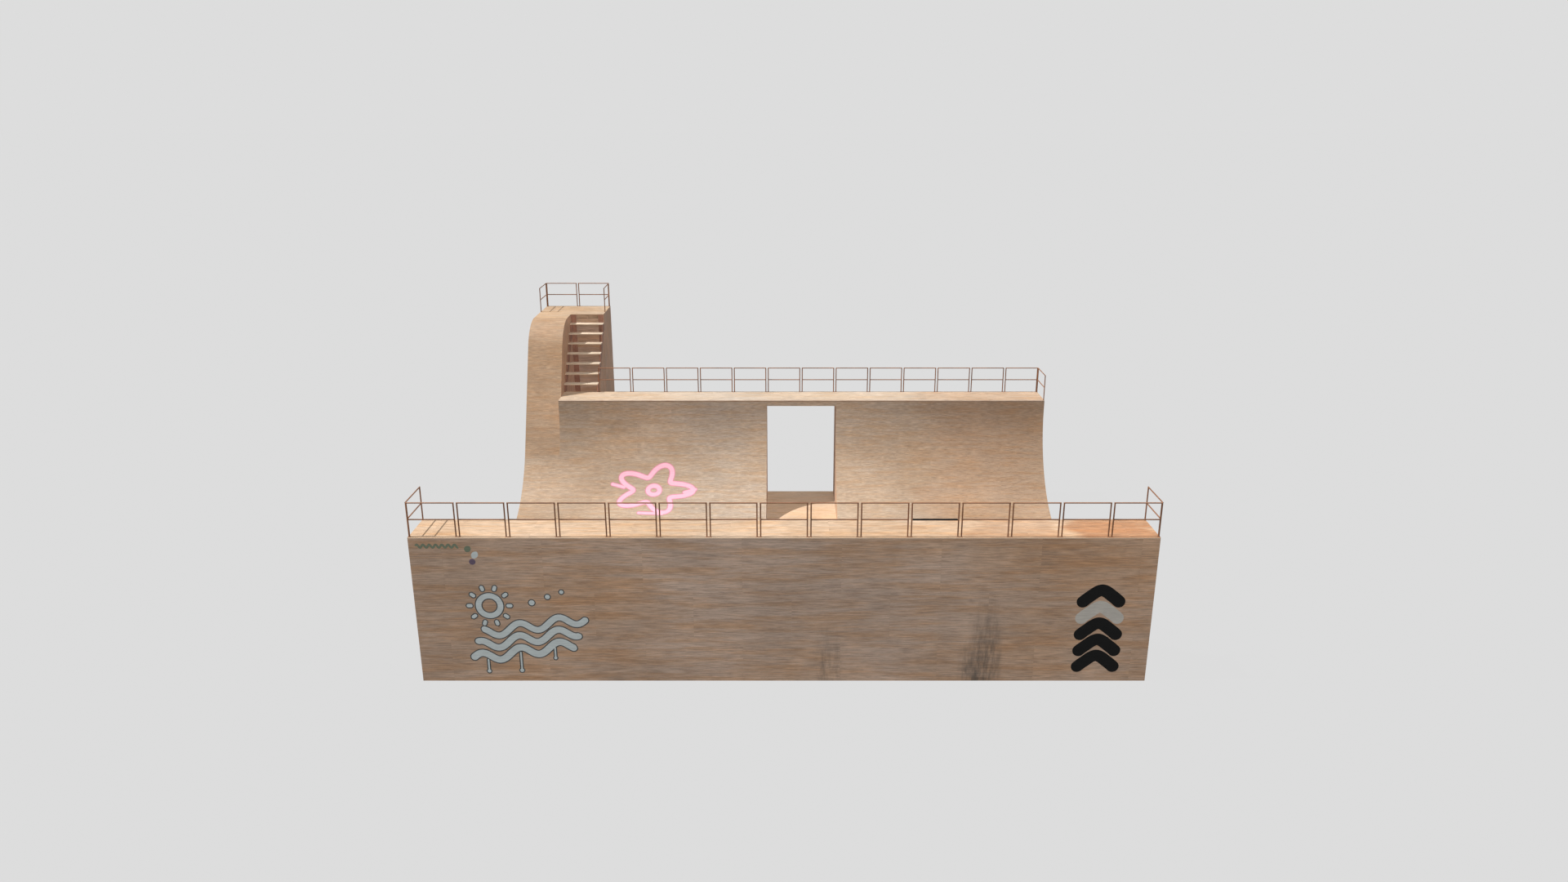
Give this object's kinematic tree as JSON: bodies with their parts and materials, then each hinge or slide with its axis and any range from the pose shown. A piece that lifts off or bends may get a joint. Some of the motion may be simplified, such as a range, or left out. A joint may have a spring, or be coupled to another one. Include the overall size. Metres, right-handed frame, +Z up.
{
  "type": "half pipe ramp",
  "caption": "Plywood half pipe with guard-railed decks, a passage through one quarter, and a roll-in tower with open-riser stairs.",
  "frame": {"origin": "middle of the whole ramp's footprint, on the ground", "axes": "+X across the ramp, along its decks, with the tower at the low end; +Y from the near quarter to the one with the passage; +Z up"},
  "size_m": [18.3, 17.18, 7.2707],
  "materials": {
    "riding_ply": "sanded plywood, horizontal grain, worn",
    "wall_ply": "bare plywood, horizontal grain",
    "deck_ply": "bare plywood, sun-bleached",
    "framing_timber": "sawn softwood",
    "stair_timber": "planed pale board",
    "stringer_paint": "reddish-brown painted timber",
    "rail_paint": "reddish-brown painted steel tube",
    "coping_steel": "ground smooth by use"
  },
  "bodies": {
    "root": {"flat_sleepers": "framing_timber", "flat_underlay": "framing_timber", "flat_surface": "riding_ply", "near_skin_lower": "riding_ply", "near_skin_upper": "riding_ply", "near_joists": "framing_timber", "near_frame": "framing_timber", "near_back_wall": "wall_ply", "near_left_side": "wall_ply", "near_right_side": "wall_ply", "near_deck_frame": "framing_timber", "near_deck": "deck_ply", "near_coping": "coping_steel", "far_left_skin_lower": "riding_ply", "far_left_skin_upper": "riding_ply", "far_right_skin_lower": "riding_ply", "far_right_skin_upper": "riding_ply", "far_joists_left": "framing_timber", "far_joists_right": "framing_timber", "far_frame_left": "framing_timber", "far_frame_right": "framing_timber", "far_back_wall_left": "wall_ply", "far_back_wall_right": "wall_ply", "far_left_end": "wall_ply", "far_right_side": "wall_ply", "tunnel_left_wall": "wall_ply", "tunnel_right_wall": "wall_ply", "tunnel_lintel": "riding_ply", "tunnel_floor": "riding_ply", "far_deck_frame": "framing_timber", "far_deck": "deck_ply", "far_coping": "coping_steel", "roll_in_skin": "riding_ply", "roll_in_left_side": "wall_ply", "roll_in_right_side": "wall_ply", "roll_in_frame": "framing_timber", "tower_frame": "stringer_paint", "tower_right_wall": "wall_ply", "tower_rear_wall": "wall_ply", "tower_front_wall": "wall_ply", "tower_deck": "deck_ply", "stair_left_stringer": "stringer_paint", "stair_right_stringer": "stringer_paint", "stair_tread_1": "stair_timber", "stair_tread_2": "stair_timber", "stair_tread_3": "stair_timber", "stair_tread_4": "stair_timber", "stair_tread_5": "stair_timber", "stair_tread_6": "stair_timber", "stair_tread_7": "stair_timber", "near_rail_left": "rail_paint", "near_rail_right": "rail_paint", "near_left_end_rail": "rail_paint", "near_right_end_rail": "rail_paint", "far_rail_left": "rail_paint", "far_rail_right": "rail_paint", "far_right_end_rail": "rail_paint", "tower_rear_rail": "rail_paint", "tower_left_rail": "rail_paint", "tower_right_rail": "rail_paint"}
  },
  "joints": []
}
